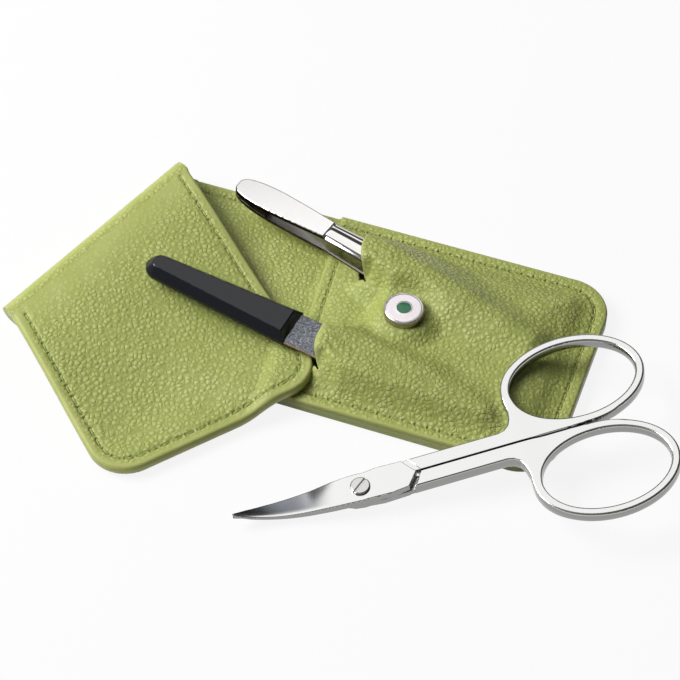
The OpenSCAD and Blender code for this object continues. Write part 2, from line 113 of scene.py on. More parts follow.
def hide(name, low, high, cell, left=None):
    """A flat hide of small cells between two corners, in millimetres. Its left edge may
    slant: left() says where it lies at each distance across."""
    bpy.ops.object.select_all(action="DESELECT")
    cols, rows = (round((high[k] - low[k]) / cell) for k in (0, 1))
    bpy.ops.mesh.primitive_grid_add(x_subdivisions=cols, y_subdivisions=rows, size=2)
    piece = bpy.context.object
    piece.name = piece.data.name = name
    share = (places_of(piece) * MM + 1) / 2
    flat = np.zeros_like(share)
    flat[:, 1] = between(low[1], high[1], share[:, 1])
    start = low[0] if left is None else left(flat[:, 1])
    flat[:, 0] = between(start, high[0], share[:, 0])
    put_places(piece, flat)
    return piece


def rim_of(piece):
    """The vertices on the open edges of a piece."""
    mesh = piece.data
    uses = np.empty(len(mesh.loops), int)
    mesh.loops.foreach_get("edge_index", uses)
    ends = np.empty(len(mesh.edges) * 2, int)
    mesh.edges.foreach_get("vertices", ends)
    return np.unique(ends.reshape(-1, 2)[np.bincount(uses, minlength=len(mesh.edges)) == 1])


def cut(piece, inside, reach):
    """Cuts a flat piece along the line where inside() is 0, and draws the cut edge onto it."""
    middles = face_middles(piece)
    in_edit(piece, inside(middles[:, 0], middles[:, 1]) < 0)
    bpy.ops.mesh.delete(type="FACE")
    bpy.ops.object.mode_set(mode="OBJECT")
    flat = places_of(piece)
    rim = rim_of(piece)
    rim = rim[np.abs(inside(flat[rim, 0], flat[rim, 1])) < reach]
    x, y = flat[rim, 0], flat[rim, 1]
    step = 0.01
    for _ in range(2):
        gap = inside(x, y)
        slope_x = (inside(x + step, y) - inside(x - step, y)) / (2 * step)
        slope_y = (inside(x, y + step) - inside(x, y - step)) / (2 * step)
        steep = np.maximum(slope_x ** 2 + slope_y ** 2, 0.25)
        x, y = x - gap * slope_x / steep, y - gap * slope_y / steep
    flat[rim, 0], flat[rim, 1] = x, y
    put_places(piece, flat)


def refine(piece, wanted):
    """Halves the cells whose middles wanted() picks."""
    middles = face_middles(piece)
    in_edit(piece, wanted(middles[:, 0], middles[:, 1]))
    bpy.ops.mesh.subdivide(number_cuts=1)
    bpy.ops.object.mode_set(mode="OBJECT")


def thicken(piece, thickness, side=-1):
    """Gives a sheet its thickness, in millimetres, below its face."""
    wall = piece.modifiers.new("thickness", "SOLIDIFY")
    wall.thickness = thickness * MM
    wall.offset = side
    only(piece)
    bpy.ops.object.modifier_apply(modifier=wall.name)


def lay_back(piece, x, y, height):
    """Draws the far face of a thickened sheet to the given places."""
    at = places_of(piece)
    count = len(at) // 2
    at[count:, 0], at[count:, 1], at[count:, 2] = x, y, height
    put_places(piece, at)


def soften(piece, degrees=50):
    only(piece)
    bpy.ops.object.shade_smooth_by_angle(angle=math.radians(degrees))


def turn_over(piece):
    """Turns a sheet's faces the other way."""
    only(piece)
    bpy.ops.object.mode_set(mode="EDIT")
    bpy.ops.mesh.select_all(action="SELECT")
    bpy.ops.mesh.flip_normals()
    bpy.ops.object.mode_set(mode="OBJECT")


def fold_line(y):
    """Where the fold lies, across the strip."""
    return fold_middle + y * math.tan(fold_skew)


def fold_gap(x, y):
    """Distance to the right of the fold line."""
    return (x - fold_line(y)) * math.cos(fold_skew)


def inside_end(a, c, end, radius):
    """Distance inside the edge of a leather as wide as the strip, round its rounded end."""
    da, dc = a - (end - radius), np.abs(c) - (half_width - radius)
    rounded = radius - np.hypot(np.maximum(da, 0), np.maximum(dc, 0))
    return np.where((da > 0) & (dc > 0), rounded, np.minimum(-da, -dc) + radius)


def edge_gap(x, y):
    """Distance inside the strip's sewn edge."""
    return inside_end(x, y, closed_end, corner_radius)


def rounded_edge(gap, radius):
    """How far a rounded edge lies under the face, at a distance inside the edge."""
    out = radius - np.clip(gap, 0, radius)
    return radius - np.sqrt(np.maximum(radius ** 2 - out ** 2, 0))


seam_in = 2.5
stitch_pitch = 2.7
stitch_half = 1.0
thread_radius = 0.24
seam_band = 3.4
edge_dark = 0.42


def seam_path(start, past, end, radius):
    """The line of a seam round three sides of a leather with rounded corners: it begins and
    ends a little past the fourth side, which lies where start() says."""
    turned = radius - seam_in
    low = [(end - radius + turned * math.cos(t), -half_width + radius + turned * math.sin(t))
           for t in np.radians(np.arange(-90, 1, 10))]
    high = [(x, -y) for x, y in reversed(low)]
    return [(start(-half_width) + past, -half_width + seam_in), *low, *high,
            (start(half_width) + past, half_width - seam_in)]


def stitch_marks(path):
    """The middle and the direction of each stitch on a seam's line."""
    path = np.array(path, float)
    run = np.concatenate([[0], np.cumsum(np.hypot(*np.diff(path, axis=0).T))])
    ends = np.linspace(0, run[-1], round(run[-1] / stitch_pitch) + 1)
    x, y = (np.interp(ends, run, path[:, k]) for k in (0, 1))
    return np.stack([(x[1:] + x[:-1]) / 2, (y[1:] + y[:-1]) / 2,
                     np.arctan2(np.diff(y), np.diff(x))], axis=1)


def stitch_pull(x, y, marks):
    """How far stitches draw the leather in, in millimetres, and where their holes are."""
    along_it, across_it, nearest = (np.full(x.shape, 9.0) for _ in range(3))
    for mark_x, mark_y, turn in marks:
        u = (x - mark_x) * math.cos(turn) + (y - mark_y) * math.sin(turn)
        v = (y - mark_y) * math.cos(turn) - (x - mark_x) * math.sin(turn)
        far = np.hypot(u, v)
        closer = far < nearest
        nearest[closer], along_it[closer], across_it[closer] = far[closer], u[closer], v[closer]
    past = np.abs(along_it) - stitch_half
    groove = 0.1 * np.exp(-(across_it / 0.8) ** 2)
    dip = 0.3 * smooth(0.5 - past / 0.4) * np.exp(-(across_it / 0.32) ** 2)
    hole = np.exp(-(past / 0.28) ** 2 - (across_it / 0.3) ** 2)
    return np.where(nearest < 5, groove + dip + 0.1 * hole, 0), np.where(nearest < 5, hole, 0)


def edge_shade(gap, holes, strength):
    """Painted shade in the needle holes, and a darker rim: partly its edge paint, partly painted
    shade on its side faces.
    """
    return np.maximum(0.55 * holes, strength * (gap < 0.04))


def wobble(x, y, size, seed=0.0):
    """Slow unevenness of soft leather, between -1 and 1, on a scale of size millimetres."""
    u, v = x / size, y / size
    return (np.sin(u + 1.7 * np.sin(0.8 * v + seed)) * np.cos(0.9 * v + 1.3 * np.sin(0.7 * u))
            + 0.5 * np.sin(2.1 * u - 1.4 * v + seed)) / 1.5


class Value:
    """A number in a material: sums and products of these add the nodes for them."""

    def __init__(self, socket):
        self.socket = socket

    def math(self, operation, *others):
        node = self.socket.id_data.nodes.new("ShaderNodeMath")
        node.operation = operation
        for slot, other in zip(node.inputs, (self, *others)):
            plug(slot, other)
        return Value(node.outputs[0])

    def __add__(self, other):
        return self.math("ADD", other)

    def __mul__(self, other):
        return self.math("MULTIPLY", other)

    def __rsub__(self, other):
        return self * -1 + other

    __radd__, __rmul__ = __add__, __mul__


def plug(slot, value):
    if isinstance(value, Value):
        slot.id_data.links.new(value.socket, slot)
    else:
        slot.default_value = value


class Web:
    """The nodes of a material or of the room."""

    def __init__(self, owner):
        owner.use_nodes = True
        self.nodes = owner.node_tree.nodes

    def node(self, kind, settings=None, out=None, **inputs):
        """Adds a node: its settings first, then the values or links of its sockets."""
        node = self.nodes.new("ShaderNode" + kind)
        for key, value in (settings or {}).items():
            if key == "stops":
                ramp = node.color_ramp.elements
                while len(ramp) < len(value):
                    ramp.new(0.5)
                for element, (place, colour) in zip(ramp, value):
                    element.position, element.color = place, (*colour, 1)
            else:
                setattr(node, key, value)
        slots = {s.identifier: s for s in node.inputs}
        for key, value in inputs.items():
            plug(slots.get(key) or node.inputs[key.replace("_", " ")], value)
        outs = {s.identifier: s for s in node.outputs}
        return Value(outs[out] if out else node.outputs[0])

    def range(self, value, low, high, to_low=0.0, to_high=1.0, kind="SMOOTHSTEP"):
        return self.node("MapRange", {"interpolation_type": kind}, "Result", Value=value,
                         **{"From Min": low, "From Max": high, "To Min": to_low,
                            "To Max": to_high})


class Finish(Web):
    """One material: a Principled shader, and the nodes that feed it."""

    def __init__(self, name, **constants):
        self.material = bpy.data.materials.new(name)
        super().__init__(self.material)
        self.shader = self.nodes["Principled BSDF"]
        self.place = self.node("TexCoord", out="Object")
        self.set(**constants)

    def set(self, **inputs):
        for key, value in inputs.items():
            plug(self.shader.inputs[key.replace("_", " ")], value)

    def noise(self, size, detail, roughness=0.5):
        """Noise between 0 and 1 whose blobs are about size millimetres across."""
        return self.node("TexNoise", Vector=self.place, Scale=1 / (size * MM), Detail=detail,
                         Roughness=roughness)

    def cells(self, size, feature="DISTANCE_TO_EDGE", place=None, **inputs):
        return self.node("TexVoronoi", {"feature": feature}, "Distance",
                         Vector=place or self.place, Scale=1 / (size * MM), **inputs)

    def streaks(self, size, stretch, detail, turn=0.0):
        """Noise drawn out into fine lines, as brushing and buffing leave."""
        place = self.node("Mapping", Vector=self.place, Scale=(*stretch, 1.0),
                          Rotation=(0, 0, turn))
        return self.node("TexNoise", Vector=place, Scale=1 / (size * MM), Detail=detail)

    def marked(self, name):
        """A number that the vertices carry."""
        return self.node("Attribute", {"attribute_name": name}, "Fac")

    def mix(self, share, a, b):
        """A colour between two others."""
        colours = {f"{side}_Color": c if isinstance(c, Value) else (*c, 1)
                   for side, c in (("A", a), ("B", b))}
        return self.node("Mix", {"data_type": "RGBA"}, "Result_Color", Factor_Float=share,
                         **colours)

    def bump(self, height, depth):
        """Relief from a height of 0 to 1, depth millimetres deep."""
        return self.node("Bump", Height=height, Distance=depth * MM, Strength=1.0)


def leather(name, tone, pebble=1.05, depth=0.17, roughness=0.36):
    """Pebbled calf: domed grain with fine creases between. Its tops get a painted highlight and
    its creases painted shade, and slow patches vary its tone.
    """
    skin = Finish(name, IOR=1.45, Specular_IOR_Level=0.4)
    warp = skin.node("TexNoise", out="Color", Vector=skin.place, Scale=1 / (2.4 * MM), Detail=1.0)
    warp = skin.node("VectorMath", {"operation": "SCALE"}, Vector=warp, Scale=0.6 * MM)
    place = skin.node("VectorMath", {"operation": "ADD"}, **{"Vector": skin.place,
                                                            "Vector_001": warp})
    dome = skin.cells(pebble, "SMOOTH_F1", place, Smoothness=0.35)
    crease = skin.range(skin.cells(pebble, place=place), 0.0, 0.16)
    small = skin.range(skin.cells(pebble * 0.47, place=place), 0.0, 0.3)
    fine = skin.noise(0.2, 2, 0.5)
    patch = skin.noise(7, 2, 0.5)
    grain, shade = skin.marked("grain"), skin.marked("shade")
    top = skin.range(dome, 0.65, 0.1)
    relief = top * 0.62 + crease * 0.22 + small * 0.11 + fine * 0.05
    deep, plain, pale = tone
    # A painted highlight makes the pebble tops paler and painted shade makes the creases darker;
    # slow patches vary the tone as well.
    tone_shift = skin.range(top * 0.6 + patch * 0.8, 0.5, 1.3)
    pebbled = skin.mix(crease * 0.55 + 0.45, deep, skin.mix(tone_shift * 0.8, plain, pale))
    rubbed = tuple(between(one, other, 0.3) for one, other in zip(plain, pale))
    flat = skin.mix(skin.range(patch, 0.3, 0.7), plain, rubbed)
    colour = skin.mix(grain * 0.85, flat, pebbled)
    # Places marked as shade go dark green: painted shade.
    skin.set(Base_Color=skin.mix(shade, colour, tuple(0.3 * v for v in deep)),
             Roughness=skin.range(relief * grain, 0.1, 1.0, roughness + 0.14, roughness),
             Normal=skin.bump(relief * grain, depth))
    return skin.material


def mark(piece, name, strength):
    """Writes a number between 0 and 1 at each vertex, for the piece's material."""
    layer = piece.data.attributes.new(name, "FLOAT", "POINT")
    layer.data.foreach_set("value", np.broadcast_to(strength, len(piece.data.vertices))
                           .astype(np.float32))


def dress(piece, material):
    piece.data.materials.clear()
    piece.data.materials.append(material)


def sew(name, marks, surface, body, side=1):
    """Lays one thread stitch in each mark: surface() gives the places of the leather's face."""
    bpy.ops.object.select_all(action="DESELECT")
    bpy.ops.mesh.primitive_uv_sphere_add(segments=6, ring_count=6, radius=1)
    stitch = bpy.context.object
    ball = places_of(stitch) * MM
    ball = np.stack([ball[:, 2], ball[:, 0], ball[:, 1]], axis=1)
    reach = stitch_half + 0.12
    copies = []
    for mark_x, mark_y, turn in marks:
        ends = [surface(mark_x + e * reach * math.cos(turn), mark_y + e * reach * math.sin(turn))
                for e in (-1, 1)]
        ends = [np.array([float(v) for v in end]) for end in ends]
        middle, run = (ends[0] + ends[1]) / 2, (ends[1] - ends[0]) / 2
        aside = np.cross((0, 0, 1), run)
        aside *= thread_radius / np.linalg.norm(aside)
        bow = ball[:, :1] ** 2 * np.array([0, 0, -0.22 * side])
        copy = stitch.copy()
        copy.data = stitch.data.copy()
        bpy.context.collection.objects.link(copy)
        put_places(copy, middle + ball[:, :1] * run + ball[:, 1:2] * aside + bow
                   + ball[:, 2:] * np.array([0, 0, thread_radius])
                   - np.array([0, 0, (0.2 + thread_radius * 0.6) * side]))
        copies.append(copy)
    only(stitch)
    bpy.ops.object.delete()
    for copy in copies:
        copy.select_set(True)
    bpy.context.view_layer.objects.active = copies[0]
    bpy.ops.object.join()
    seam = bpy.context.object
    seam.name = seam.data.name = name
    bpy.ops.object.shade_smooth()
    dress(seam, thread)
    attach(seam, body)


# Deep green is the painted shade in creases and marked places, plain is the leather, pale is the
# painted highlight on the pebble tops and the tone of the patches.
apple_green = ((0.215, 0.303, 0.052), (0.420, 0.462, 0.132), (0.600, 0.600, 0.240))
outer_leather = leather("apple green calf", apple_green)
twist = Finish("green sewing thread", Roughness=0.62)
strands = twist.node("TexWave", {"bands_direction": "DIAGONAL"}, "Fac", Vector=twist.place,
                     Scale=0.35 / MM, Distortion=1.0)
# The colour follows the twist's relief: darker between the strands, painted shade in its grooves.
twist.set(Base_Color=twist.mix(strands, (0.26, 0.31, 0.075), (0.38, 0.42, 0.13)),
          Normal=twist.bump(strands, 0.04))
thread = twist.material

strip_marks = stitch_marks(seam_path(fold_line, 1.5, closed_end, corner_radius))
strip = hide("strip_outer_leather", strip_low, strip_high, 0.5, fold_line)
cut(strip, edge_gap, 0.75)
refine(strip, lambda x, y: edge_gap(x, y) < seam_band)
at = places_of(strip)
x, y = at[:, 0], at[:, 1]
gap = edge_gap(x, y)
pull, holes = stitch_pull(x, y, strip_marks)
at[:, 2] = rounded_edge(gap, 0.22) + 0.7 * pull
put_places(strip, at)
turn_over(strip)
mark(strip, "grain", smooth((gap - 0.1) / 0.9))
mark(strip, "shade", edge_shade(gap, holes, edge_dark))
thicken(strip, outer_thick)
lay_back(strip, x, y, outer_thick)
soften(strip)
dress(strip, outer_leather)
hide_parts("back_outer")
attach(strip, "case")
sew("strip_underside_thread", strip_marks, lambda x, y: (x, y, 0.12), "case", -1)


# ---- The strip's lining
# Thinner calf of the same colour, with a glazed face, lies over the outer leather and shows
# between the fold and the pocket. A card in a recess under it keeps the strip stiff.

lining_thick = 1.1
lining_top = outer_thick + lining_thick
lining_leather = leather("glazed lining calf", apple_green, 1.0, 0.2, 0.2)
pocket_edge = 4.4
pocket_skew = math.radians(5.3)


def panel_left(y):
    """Where the pocket panel's open edge lies, across the strip."""
    return -pocket_edge - y * math.tan(pocket_skew)


def bare_lining(x, y):
    """1 where the lining shows, 0 where the pocket panel covers it."""
    return 1 - smooth(x - panel_left(y) + 1)


def lining_face(x, y):
    """Height of the lining's face, without the seam's pull."""
    inner = smooth((edge_gap(x, y) - 3.5) / 4)
    return lining_top - 0.05 + bare_lining(x, y) * inner * 0.07 * (wobble(x, y, 3.0) - 1)


lining = hide("strip_lining", strip_low, strip_high, 0.45, fold_line)
cut(lining, edge_gap, 0.7)
refine(lining, lambda x, y: (edge_gap(x, y) < seam_band) & (x < panel_left(y)))
at = places_of(lining)
x, y = at[:, 0], at[:, 1]
gap = edge_gap(x, y)
pull, holes = stitch_pull(x, y, strip_marks)
bare = bare_lining(x, y)
at[:, 2] = lining_face(x, y) - bare * (rounded_edge(gap, 0.3) + pull) + 0.08 * (1 - bare)
put_places(lining, at)
mark(lining, "grain", smooth((gap - 0.1) / 0.9))
mark(lining, "shade", edge_shade(gap, holes * bare, edge_dark))
thicken(lining, lining_thick)
lay_back(lining, x, y, outer_thick - 0.02)
soften(lining)
dress(lining, lining_leather)
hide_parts("back_lining")
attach(lining, "case")
sew("strip_lining_thread", [m for m in strip_marks if m[0] < panel_left(m[1]) - 1.5],
    lambda x, y: (x, y, lining_face(x, y)), "case")

card = Finish("pressed card", Roughness=0.9)
card.set(Base_Color=card.mix(card.noise(0.8, 4, 0.7), (0.30, 0.23, 0.14), (0.42, 0.34, 0.22)),
         Normal=card.bump(card.noise(0.3, 3), 0.03))
for name in ("back_stiffener", "button_backing"):
    dress(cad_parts[name], card.material)


# ---- The pocket panel
# A second piece of the outer calf, sewn on all round. The tools under it puff it up, and it
# opens in two curved slits that they go in through.

panel_thick = 1.1
rim_top = lining_top + panel_thick
tool_room = 0.5
tweezer_fall, file_fall = 10.0, 9.0
button_at = (16.2, 0.0)
button_wide = 8.5
button_seat, seat_fall = 8.4, 4.6
file_tail, file_yaw, file_slope = (-38.9, -7.1, 11.0), math.radians(-7.5), math.radians(4.8)
file_len, blade_half = 80.0, 0.5
tweezer_tail = (-29.3, 21.1, 9.25)
tweezer_yaw, tweezer_slope = math.radians(-14.2), math.radians(3.8)
tweezer_len, belly, arm_crown = 76.0, 5.8, 40.0


def along(x, y, tail, yaw):
    return (x - tail[0]) * math.cos(yaw) + (y - tail[1]) * math.sin(yaw)


def across(x, y, tail, yaw):
    return (y - tail[1]) * math.cos(yaw) - (x - tail[0]) * math.sin(yaw)


def arm_face(u):
    """Height of a tweezer arm's outer face over the middle plane."""
    return belly / 2 - (u - arm_crown) ** 2 * (belly - 2.5) / (2 * arm_crown ** 2)


blade_stations = ((0, 1.6), (23, 2.6), (33, 4.2), (54, 4.2), (66, 3.61), (74, 2.6), (78, 1.51),
                  (80, 0.5))
arm_stations = ((0, 0.9), (0.25, 1.4), (0.7, 1.85), (1.4, 2.25), (2.5, 2.6), (3.8, 2.86),
                (5.2, 3.03), (7.5, 3.17), (10, 3.2), (17, 2.85), (24, 2.4),
                (34, 2.8), (42, 2.9), (52, 2.5), (64, 1.8), (76, 1.2))


def half_wide(stations, u):
    return np.interp(u, *zip(*stations))


def eased(t):
    """0 to 1, straight but for a soft turn at either end."""
    turn = 0.2
    t = np.clip(t, 0, 1)
    low, high = np.minimum(t, turn), np.maximum(t - 1 + turn, 0)
    return (t - turn / 2 + ((turn - low) ** 2 - high ** 2) / (2 * turn)) / (1 - turn)


def ridge(u, v, top, half, length, fall):
    """How far the leather over a tool stands above the panel's rim: from just inside the
    tool's sides it falls away over the given width."""
    return (np.maximum(0, top + tool_room + panel_thick - rim_top)
            * (1 - eased((np.abs(v) - half + 1.4) / (fall + 1.4)))
            * (1 - smooth((u - length + 1) / 6)))


def tweezer_ridge(x, y):
    u, v = (f(x, y, tweezer_tail, tweezer_yaw) for f in (along, across))
    middle = tweezer_tail[2] - u * math.tan(tweezer_slope)
    return ridge(u, v, middle + arm_face(u), half_wide(arm_stations, u), tweezer_len,
                 tweezer_fall)


def file_ridge(x, y):
    u, v = (f(x, y, file_tail, file_yaw) for f in (along, across))
    middle = file_tail[2] - u * math.tan(file_slope)
    return ridge(u, v, middle + blade_half, half_wide(blade_stations, u), file_len,
                 file_fall)


def highest(*heights):
    """The highest of some heights, flowing into each other where they meet."""
    return sum(height ** 4 for height in heights) ** 0.25


class Slit:
    """A slit along an arc that bows to the left: right of it the leather is lifted."""

    def __init__(self, middle, radius, half_angle, tilt):
        self.radius, self.half_angle, self.tilt = radius, half_angle, tilt
        self.centre = (middle[0] + radius * math.cos(tilt), middle[1] + radius * math.sin(tilt))

    def turn(self, x, y):
        """Angle round the arc from the slit's middle."""
        a = np.arctan2(y - self.centre[1], x - self.centre[0]) - self.tilt - math.pi
        return (a + math.pi) % (2 * math.pi) - math.pi

    def right(self, x, y):
        """Distance right of the slit."""
        return self.radius - np.hypot(x - self.centre[0], y - self.centre[1])

    def past_centre(self, x, y):
        """Distance right of the arc's centre."""
        return ((x - self.centre[0]) * math.cos(self.tilt)
                + (y - self.centre[1]) * math.sin(self.tilt))

    def open(self, x, y):
        """Positive outside the narrow opening."""
        past = (np.abs(self.turn(x, y)) - self.half_angle) * self.radius
        across_it = np.abs(self.right(x, y))
        return np.where(past < 0, across_it, np.hypot(across_it, past)) - 0.12

    def lift(self, x, y):
        """1 where the leather rises over the tool, 0 where it lies under it."""
        end = smooth((np.abs(self.turn(x, y)) / self.half_angle - 0.5) / 0.5)
        d = self.right(x, y)
        over = 1 - 0.5 * end * (1 - smooth(d / 3.5))
        under = 0.5 * end * (1 - smooth(-d / 4.0))
        return between(np.where(d > 0, over, under), 1, smooth(self.past_centre(x, y) / 3 + 1))


def gathers(x, y, slit):
    """Fine wrinkles that fan out to the right from the middle of a slit."""
    u = x - slit.centre[0] + slit.radius
    v = y - slit.centre[1]
    far, turn = np.hypot(u, v), np.arctan2(v, np.maximum(u, 0.01))
    return (0.1 * np.cos(13 * turn + 0.5 * far) * np.exp(-((far - 5.5) / 2.6) ** 2)
            * smooth((u - 1.5) / 2))


tweezer_slit = Slit((2.4, 12.0), 8.2, math.radians(42), math.radians(8))
file_slit = Slit((1.0, -12.6), 8.0, math.radians(46), math.radians(2))


def mouth_gap(x, y):
    """Distance inside the panel's open edge."""
    return (x - panel_left(y)) * math.cos(pocket_skew)


def panel_gap(x, y):
    return np.minimum(edge_gap(x, y), mouth_gap(x, y))


def lip_gap(x, y):
    """Distance from the nearer slit's lip."""
    return np.minimum(tweezer_slit.open(x, y), file_slit.open(x, y))


def panel_face(x, y):
    """Height of the panel's face."""
    gap, mouth = edge_gap(x, y), mouth_gap(x, y)
    in_mouth = smooth((mouth - 0.6) / 5)
    over_tools = highest(tweezer_ridge(x, y) * in_mouth * tweezer_slit.lift(x, y),
                         file_ridge(x, y) * in_mouth * file_slit.lift(x, y),
                         2.3 * smooth((mouth - 14) / 14) * smooth((gap - 3) / 11))
    puff = smooth((gap - seam_in) / 5.4) * (0.9 * smooth(mouth / 8) + over_tools)
    near_button = np.hypot(x - button_at[0], y - button_at[1])
    seat = smooth((near_button - button_wide / 2 - 0.3) / seat_fall)
    top = between(button_seat, rim_top + puff, seat)
    slack = smooth((gap - 4) / 6) * smooth((near_button - 6) / 6)
    fans = gathers(x, y, tweezer_slit) + gathers(x, y, file_slit)
    return top + (0.13 * wobble(x, y, 3.6, 1.0) + fans) * slack


panel_marks = stitch_marks(seam_path(panel_left, 1.2, closed_end, corner_radius))
mouth_in = seam_in / math.cos(pocket_skew)
mouth_marks = stitch_marks([(panel_left(y) + mouth_in, y)
                            for y in (-half_width + seam_in + 2, half_width - seam_in - 2)])
panel = hide("pocket_panel_leather", (panel_left(half_width), -half_width),
             (closed_end, half_width), 0.36, panel_left)
cut(panel, edge_gap, 0.5)
refine(panel, lambda x, y: (panel_gap(x, y) < seam_band) | (lip_gap(x, y) < 0.8))
refine(panel, lambda x, y: lip_gap(x, y) < 0.4)
for slit in (tweezer_slit, file_slit):
    cut(panel, slit.open, 0.08)
at = places_of(panel)
x, y = at[:, 0], at[:, 1]
gap, lip = panel_gap(x, y), lip_gap(x, y)
pull, holes = (np.maximum(one, other) for one, other in
               zip(stitch_pull(x, y, panel_marks), stitch_pull(x, y, mouth_marks)))
at[:, 2] = panel_face(x, y) - pull - rounded_edge(gap, 0.5) - rounded_edge(lip, 0.4)
put_places(panel, at)
mark(panel, "grain", smooth((gap - 0.1) / 1.1) * between(0.3, 1, smooth((lip - 0.1) / 1.5)))
# Painted shade in the needle holes, on the rim and along the slits' lips.
mark(panel, "shade", np.maximum(edge_shade(gap, holes, 0.38), 0.3 * (lip < 0.04)))
thicken(panel, panel_thick)
under_x, under_y, under_z = places_of(panel)[len(gap):].T
inner = smooth(gap / 3)
lay_back(panel, between(x, under_x, inner), between(y, under_y, inner),
         np.maximum(under_z, np.where(gap < 2.4, lining_top, 0)))
soften(panel)
dress(panel, outer_leather)
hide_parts("pocket_panel")
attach(panel, "case")
for name, marks in (("pocket_seam_thread", panel_marks), ("pocket_mouth_thread", mouth_marks)):
    sew(name, marks, lambda x, y: (x, y, panel_face(x, y)), "case")


# ---- The rolled fold
# Past the pocket the strip turns up and over on a slanting line. Outer leather and lining
# bend together round nothing, so the roll stands up and is smooth where the grain is pulled.

fold_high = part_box("fold_outer")[1].z / MM
fold_creep = 3.2


def roll(name, radius, thickness, material, node):
    """One leather of the roll, bent from a flat hide round the fold line."""
    piece = hide(name, (-1, 0), (1, 1), 0.015)
    share = places_of(piece)
    side, turn = share[:, 0] * half_width, np.pi * (1 - np.maximum(1 - share[:, 1], 0) ** 1.5)
    run = fold_creep * turn / np.pi
    x = fold_line(side) + fold_along[0] * run
    y = side + fold_along[1] * run
    put_places(piece, np.stack([x + fold_along[1] * radius * np.sin(turn),
                                y - fold_along[0] * radius * np.sin(turn),
                                fold_high / 2 - radius * np.cos(turn)], axis=1))
    mark(piece, "grain", between(1.0, 0.25, smooth(1.6 * np.sin(turn))))
    thicken(piece, thickness, 1)
    soften(piece)
    dress(piece, material)
    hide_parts(node)
    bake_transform(piece)


roll("fold_outer_leather", fold_high / 2, outer_thick, outer_leather, "fold_outer")
roll("fold_lining_leather", fold_high / 2 - outer_thick, lining_thick, lining_leather,
     "fold_lining")


# ---- The flap
# The rest of the strip, turned grain side up. It sinks from the fold to the strip, lies over
# the pocket's corner and reaches past the near edge down to the table.

flap_along = (math.sin(2 * fold_skew + math.pi / 2), math.cos(2 * fold_skew + math.pi / 2))
flap_across = (-flap_along[1], flap_along[0])
flap_root = (fold_middle + fold_along[0] * fold_creep, fold_along[1] * fold_creep)
flap_len = 53.9
flap_corner = 8.5
flap_sink = 40.0
flap_clear = 0.3
both_leathers = outer_thick + lining_thick


def flap_place(a, c):
    """The place of a point of the flap, from its distances along and across it."""
    return (flap_root[0] + a * flap_along[0] + c * flap_across[0],
            flap_root[1] + a * flap_along[1] + c * flap_across[1])


def flap_edge_gap(a, c):
    return inside_end(a, c, flap_len, flap_corner)


def flap_start(c):
    """Where the flap begins, along it, at each distance across it."""
    return -c * math.tan(fold_skew)


def flap_under(x, y):
    """Height of the flap's lining face: it lies on the table, the strip and the panel."""
    strip_height = flap_clear + lining_top
    ramp = between(strip_height, 0.05, np.clip((-y - half_width - 1.4) / 11, 0, 1))
    mouth = x - panel_left(y)
    over_panel = smooth((mouth + 9.5) / 8) * smooth((y + half_width + 10) / 9)
    over_tools = highest(tweezer_ridge(x, y) * smooth((mouth - 3.0) / 6),
                         file_ridge(x, y) * smooth((mouth - 5.4) / 4.2))
    gap = np.minimum(half_width - np.abs(y), closed_end - x)
    puff = smooth((gap - 2.4) / 5.4) * (0.9 * smooth((mouth - 2.4) / 8) + over_tools)
    base = np.maximum(ramp, between(strip_height * 0.4, flap_clear + rim_top + puff,
                                    over_panel))
    return between(fold_high - both_leathers, base, smooth(fold_gap(x, y) / flap_sink))


flap_marks = stitch_marks(seam_path(flap_start, 1.0, flap_len, flap_corner))


def flap_slack(a, c):
    """The flap's slow unevenness: it is creased here and there along its seam."""
    gap = flap_edge_gap(a, c)
    inner = smooth((a - 2) / 8) * smooth((gap - 3) / 5)
    pleats = np.exp(-((gap - 3.6) / 1.0) ** 2) * smooth((a - 4) / 6)
    return 0.13 * wobble(a, c, 5.0) * inner + 0.09 * pleats * wobble(2.3 * a, 2.3 * c, 1.9, 2.0)


def flap_sheet(name, cell, lift, thickness, material, node, face_up):
    """One leather of the flap: both meet in the face between them."""
    piece = hide(name, (flap_start(half_width), -half_width), (flap_len, half_width), cell,
                 flap_start)
    cut(piece, flap_edge_gap, cell * 1.5)
    refine(piece, lambda a, c: flap_edge_gap(a, c) < seam_band)
    flat = places_of(piece)
    a, c = flat[:, 0], flat[:, 1]
    gap = flap_edge_gap(a, c)
    x, y = flap_place(a, c)
    pull, holes = stitch_pull(a, c, flap_marks)
    near_fold = smooth((a * math.cos(fold_skew) + c * math.sin(fold_skew)) / 1.5)
    sunk = near_fold * (rounded_edge(gap, 0.8 if face_up else 0.35) + pull)
    under = flap_under(x, y) + flap_slack(a, c)
    put_places(piece, np.stack([x, y, under + lift + (-sunk if face_up else sunk)], axis=1))
    mark(piece, "grain", between(0.3, 1.0, smooth((fold_gap(x, y) - 1) / 9))
         * smooth((gap - 0.5) / 1.6))
    mark(piece, "shade", edge_shade(gap, holes, 0.12))
    if not face_up:
        turn_over(piece)
    thicken(piece, thickness)
    lay_back(piece, x, y, under + lining_thick)
    soften(piece)
    dress(piece, material)
    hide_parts(node)
    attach(piece, "flap")


flap_sheet("flap_outer_leather", 0.4, both_leathers, outer_thick, outer_leather, "flap_outer",
           True)
flap_sheet("flap_lining_leather", 0.6, 0.0, lining_thick, lining_leather, "flap_lining", False)


def on_flap(lift):
    def surface(a, c):
        x, y = flap_place(a, c)
        return x, y, flap_under(x, y) + lift + flap_slack(a, c)
    return surface


sew("flap_thread", flap_marks, on_flap(both_leathers), "flap")
sew("flap_underside_thread", flap_marks, on_flap(0.0), "flap", -1)

